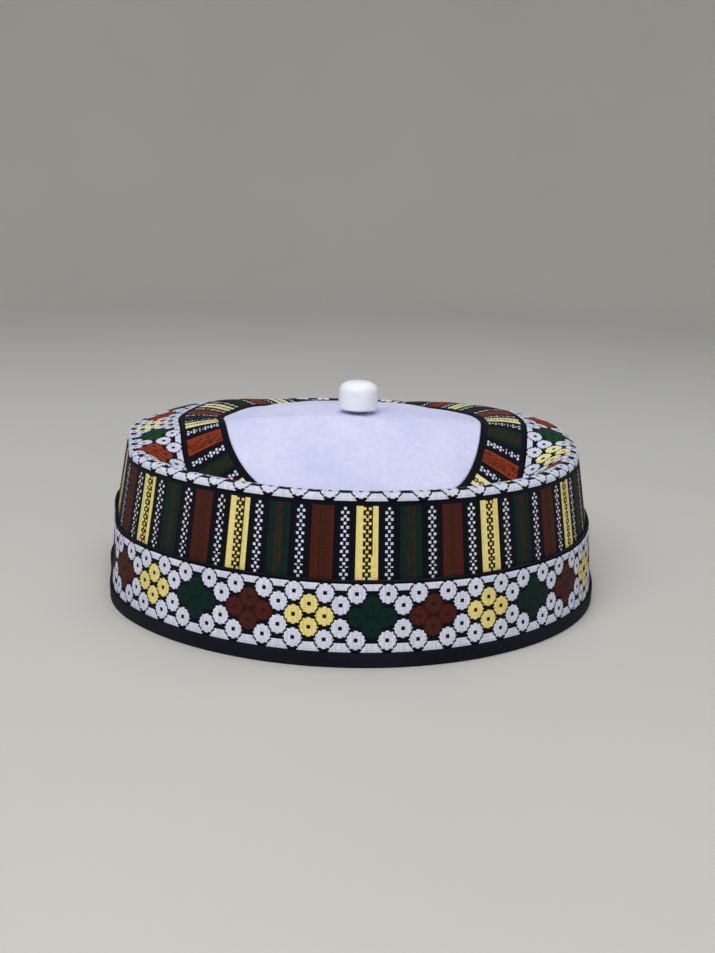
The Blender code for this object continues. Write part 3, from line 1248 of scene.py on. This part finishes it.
@dataclass
class HemBinding:
    """Folded tape round the lower edge, a little uneven, with stitches along its outer leaf.

    A wave is given by how often it goes round the cap, its share and its phase.
    """

    shape: CapShape
    soft: SoftSet
    columns: int = 960
    unevenness: float = 0.14 * MM
    waves: tuple = ((17.0, 1.0, 0.0), (41.0, 0.7, 1.0), (97.0, 0.5, 2.0))
    uneven_at: float = 2.6 * MM
    uneven_width: float = 1.7 * MM
    uneven_depth: float = 0.7 * MM
    stitch_count: int = 190
    stitch_length: float = 2.0 * MM
    stitch_width: float = 0.30 * MM
    stitch_height: float = 3.9 * MM
    stitch_stand: float = 0.02 * MM

    def build(self, tape: PlainClothFinish, thread: PlainClothFinish) -> list:
        """Make the tape and its stitches, in that order."""
        return [self._tape(tape), self._stitches(thread)]

    def _outline(self) -> list:
        """Closed outline of the folded tape, the outer leaf first."""
        shape = self.shape
        leaf = shape.binding_leaf / 2.0
        foot = min(leaf, shape.hem_fold / 2.0)
        top = shape.hem_height - leaf
        inside, outside = shape.inner_radius, shape.hem_outer
        return [
            *arc((outside - leaf, top), leaf, 180.0, 0.0, 6)[:-1],
            *straight((outside, top), (outside, foot), 8),
            *arc((outside - foot, foot), foot, 0.0, -90.0, 4)[1:],
            *arc((inside + foot, foot), foot, 270.0, 180.0, 4)[:-1],
            *straight((inside, foot), (inside, top), 5),
            *arc((inside + leaf, top), leaf, 180.0, 0.0, 5)[1:],
            (shape.foot_inner - shape.seam_gap, shape.hem_fold),
            (shape.foot_inner + shape.band_cloth + shape.seam_gap, shape.hem_fold),
        ]

    def _tape(self, finish: PlainClothFinish) -> bpy.types.Object:
        """Turn the tape and make its outer leaf slightly uneven."""
        outline = self._outline()
        piece = Turned("hem_binding_tape", outline, self.columns).build()
        reader = MeshReader(piece)
        reader.write_turned_map(self.shape.hem_outer, outline_length(outline))
        points = reader.points.copy()
        radius = np.hypot(points[:, 0], points[:, 1])
        turn = np.radians(reader.angle)
        uneven = sum(share * np.sin(times * turn + phase) for times, share, phase in self.waves)
        uneven = uneven / sum(share for _, share, _ in self.waves)
        outside = smoothstep(self.shape.hem_outer - self.uneven_depth, self.shape.hem_outer, radius)
        middle = bell(points[:, 2] - self.uneven_at, self.uneven_width)
        points[:, :2] *= (1.0 + self.unevenness * uneven * outside * middle / radius)[:, None]
        reader.write_points(self.soft.settle(points))
        return dress(piece, finish, "hem_binding", 60.0)

    def _stitches(self, finish: PlainClothFinish) -> bpy.types.Object:
        """Lay running stitches along the top of the outer leaf."""
        shape = bmesh.new()
        radius = self.shape.hem_outer + self.stitch_stand
        stretch = Matrix.Diagonal((self.stitch_length, self.stitch_width, self.stitch_width, 1.0))
        for number in range(self.stitch_count):
            turn = 2.0 * math.pi * number / self.stitch_count
            place = Matrix.Translation((0.0, -radius, self.stitch_height))
            place = Matrix.Rotation(turn, 4, "Z") @ place
            bmesh.ops.create_icosphere(shape, subdivisions=1, radius=0.5, matrix=place @ stretch)
        piece = linked("hem_stitches", shape)
        mesh = piece.data
        places = self.soft.settle(read_array(mesh.vertices, "co", 3))
        mesh.vertices.foreach_set("co", places.astype(np.float32).ravel())
        weave = mesh.uv_layers.new(name=WEAVE_MAP)
        for loop in mesh.loops:
            spot = mesh.vertices[loop.vertex_index].co
            weave.data[loop.index].uv = (math.atan2(spot.x, -spot.y) * radius, spot.z)
        return dress(piece, finish)


@dataclass
class SeamBraid:
    """Thin black braid along the seam between the two bands, its strands twisted."""

    shape: CapShape
    soft: SoftSet
    columns: int = 1440
    strands: int = 2
    twists: int = 260
    sides: int = 10
    girth: tuple = (0.84, 0.14)

    def build(self, finish: PlainClothFinish) -> bpy.types.Object:
        """Turn and twist the braid.

        Args:
            finish: the black thread.

        Returns:
            The finished piece.
        """
        shape = self.shape
        half = shape.braid_width / 2.0
        centre = (shape.stripe_foot + shape.seam_gap + half, shape.flower_top + shape.seam_gap + half)
        outline = arc(centre, half, 0.0, FULL_TURN, self.sides)[:-1]
        piece = Turned("seam_braid_cord", outline, self.columns).build()
        reader = MeshReader(piece)
        points = reader.points.copy()
        radius = np.hypot(points[:, 0], points[:, 1])
        turn = np.arctan2(points[:, 1], points[:, 0])
        around = np.arctan2(points[:, 2] - centre[1], radius - centre[0])
        twist = np.abs(np.cos((around * self.strands + turn * self.twists) / 2.0))
        waist = self.girth[0] + self.girth[1] * twist
        near = centre[0] + (radius - centre[0]) * waist
        points[:, 2] = centre[1] + (points[:, 2] - centre[1]) * waist
        points[:, 0] = near * np.cos(turn)
        points[:, 1] = near * np.sin(turn)
        reader.write_turned_map(centre[0], 2.0 * math.pi * half)
        reader.write_points(self.soft.settle(points))
        return dress(piece, finish, "seam_braid")


@dataclass
class TopButton:
    """Drum-shaped white button on its thread shank."""

    shape: CapShape
    columns: int = 96
    top_round: float = 4.1 * MM
    foot_round: float = 0.8 * MM
    fullness: float = 3.0
    shank_steps: int = 36
    shank_winds: float = 3.0
    wind_depth: float = 0.16 * MM

    def build(self, shell: ButtonFinish, thread: PlainClothFinish) -> list:
        """Make the button and its shank, in that order."""
        return [self._drum(shell), self._shank(thread)]

    def _drum(self, finish: ButtonFinish) -> bpy.types.Object:
        """Turn the drum with its domed top."""
        shape = self.shape
        edge = shape.button_diameter / 2.0
        foot = (edge - self.foot_round, self.foot_round)
        shoulder = shape.button_height - self.top_round
        turns = np.radians(np.linspace(0.0, 90.0, 25))[:-1]
        outline = [
            (0.0, 0.0),
            *straight((edge * 0.25, 0.0), (foot[0], 0.0), 4),
            *arc(foot, self.foot_round, -90.0, 0.0, 5)[1:],
            *straight((edge, self.foot_round + 0.8 * MM), (edge, shoulder), 5)[:-1],
            *((edge * math.cos(turn) ** (2.0 / self.fullness), shoulder + self.top_round * math.sin(turn))
              for turn in turns),
            (0.0, shape.button_height),
        ]
        piece = self._seated("top_button", outline, shape.shank_height + 2.0 * shape.seam_gap)
        return dress(piece, finish, "button", 50.0)

    def _shank(self, finish: PlainClothFinish) -> bpy.types.Object:
        """Turn the shank as a short stack of wound thread."""
        shape = self.shape
        heights = np.linspace(0.0, shape.shank_height, self.shank_steps + 1)
        winding = np.cos(heights / shape.shank_height * self.shank_winds * 2.0 * math.pi)
        wound = shape.shank_diameter / 2.0 - self.wind_depth * (0.5 + 0.5 * winding)
        side = [(float(r), float(h)) for r, h in zip(wound, heights)]
        outline = [(0.0, 0.0), *side, (0.0, shape.shank_height)]
        piece = self._seated("button_shank_thread", outline, shape.seam_gap)
        return dress(piece, finish, "button_shank", 50.0)

    def _seated(self, name: str, outline: list, above: float) -> bpy.types.Object:
        """Turn an outline, map it and seat it above the crown.

        Args:
            name: the object's name.
            outline: the profile from the axis to the axis.
            above: how far it sits above the crown.

        Returns:
            The object.
        """
        piece = Turned(name, outline, self.columns, closed=False).build()
        MeshReader(piece).write_turned_map(self.shape.button_diameter / 2.0)
        place = (self.shape.button_offset, 0.0, self.shape.shank_seat() + above)
        piece.data.transform(Matrix.Translation(place))
        return piece


@dataclass
class Studio:
    """Pale sweep, soft lights and the photograph's viewpoint."""

    camera_place: tuple = (0.0031, -0.4340, 0.1470)
    pitch_down: float = 13.9
    roll: float = 1.76
    lens: float = 41.55
    sweep_radius: float = 1.7
    sweep_height: float = 1.3
    sweep_bend: float = 0.6
    aim: tuple = (0.0, 0.0, 0.04)

    def build(self) -> None:
        """Make the floor, the lights, the world and the camera."""
        self._floor()
        self._light("key_light", (-0.35, -0.75, 1.05), 0.9, 9.5, (0.94, 0.96, 1.0))
        self._light("top_light", (0.15, 0.20, 1.15), 0.8, 3.1, (0.92, 0.95, 1.0))
        self._light("front_light", (0.25, -1.15, 0.42), 0.6, 3.0, (1.0, 0.99, 0.97))
        self._world()
        self._camera()

    def _floor(self) -> None:
        """Turn one sweep that is both floor and backdrop."""
        bend = self.sweep_bend
        outline = [(0.0, 0.0), *straight((0.2, 0.0), (self.sweep_radius - bend, 0.0), 6),
                   *arc((self.sweep_radius - bend, bend), bend, -90.0, 0.0, 12)[1:],
                   (self.sweep_radius, self.sweep_height)]
        floor = Turned("floor", outline, 96, closed=False).build()
        flipped = bmesh.new()
        flipped.from_mesh(floor.data)
        if sum(face.normal.z * face.calc_area() for face in flipped.faces) < 0.0:
            bmesh.ops.reverse_faces(flipped, faces=flipped.faces[:])
        flipped.to_mesh(floor.data)
        flipped.free()
        smooth(floor, FloorFinish())

    def _light(self, name: str, place: tuple, size: float, power: float, colour: tuple) -> None:
        """Hang one soft square light that looks at the cap."""
        lamp = bpy.data.lights.new(name, "AREA")
        lamp.size = size
        lamp.energy = power
        lamp.color = colour
        holder = bpy.data.objects.new(name, lamp)
        holder.location = place
        aim = Vector(self.aim) - Vector(place)
        holder.rotation_euler = aim.to_track_quat("-Z", "Y").to_euler()
        bpy.context.scene.collection.objects.link(holder)

    def _world(self) -> None:
        """Fill the shadows with an even pale light."""
        world = bpy.data.worlds.new("studio")
        world.use_nodes = True
        sky = world.node_tree.nodes["Background"]
        sky.inputs["Color"].default_value = (0.89, 0.93, 1.0, 1.0)
        sky.inputs["Strength"].default_value = 0.30
        bpy.context.scene.world = world

    def _camera(self) -> None:
        """Place the camera as it was for the photograph."""
        camera = bpy.data.cameras.new("camera")
        camera.lens = self.lens
        camera.sensor_width = 36.0
        camera.sensor_fit = "AUTO"
        camera.dof.use_dof = False
        camera.clip_start = 0.01
        holder = bpy.data.objects.new("camera", camera)
        look = Euler((math.radians(90.0 - self.pitch_down), 0.0, 0.0)).to_matrix().to_4x4()
        roll = Matrix.Rotation(math.radians(self.roll), 4, "Z")
        holder.matrix_world = Matrix.Translation(self.camera_place) @ look @ roll
        bpy.context.scene.collection.objects.link(holder)
        bpy.context.scene.camera = holder
        bpy.context.scene.view_settings.view_transform = "Standard"


def main() -> None:
    """Build every piece in order, log the triangles of each and set up the studio."""
    logging.basicConfig(level=logging.INFO, format="%(name)s: %(message)s")
    shape = CapShape()
    soft = SoftSet(shape)
    woven, plain = WovenFinish, PlainClothFinish
    tape = plain("navy_tape", (0.0030, 0.0042, 0.0085), (0.0065, 0.0085, 0.0145), 0.7 * MM, 0.09 * MM)
    stitch = plain("navy_stitch", (0.012, 0.015, 0.028), (0.006, 0.008, 0.016), 0.3 * MM, 0.03 * MM)
    black = plain("black_thread", (0.004, 0.005, 0.009), (0.010, 0.011, 0.016), 0.3 * MM, 0.03 * MM)
    white = plain("white_cotton", (0.77, 0.78, 0.97), (0.66, 0.68, 0.93), 0.55 * MM, 0.06 * MM, crumple=7.0)
    wound = plain("wound_thread", (0.42, 0.43, 0.52), (0.30, 0.31, 0.40), 0.25 * MM, 0.04 * MM)
    made = [
        FlowerBand(shape, soft).build(woven("flower_band_threads")),
        StripeBand(shape, soft).build(woven("stripe_band_threads")),
        CrownFlowerRing(shape, soft).build(woven("crown_flower_threads")),
        CrownStripeRing(shape, soft).build(woven("crown_stripe_threads")),
        CrownDisc(shape, soft).build(white),
        *HemBinding(shape, soft).build(tape, stitch),
        SeamBraid(shape, soft).build(black),
        *TopButton(shape).build(ButtonFinish(), wound),
    ]
    for piece in made:
        triangles = sum(len(face.vertices) - 2 for face in piece.data.polygons)
        log.info("%s: %d triangles", piece.name, triangles)
    Studio().build()


if __name__ == "__main__":
    main()
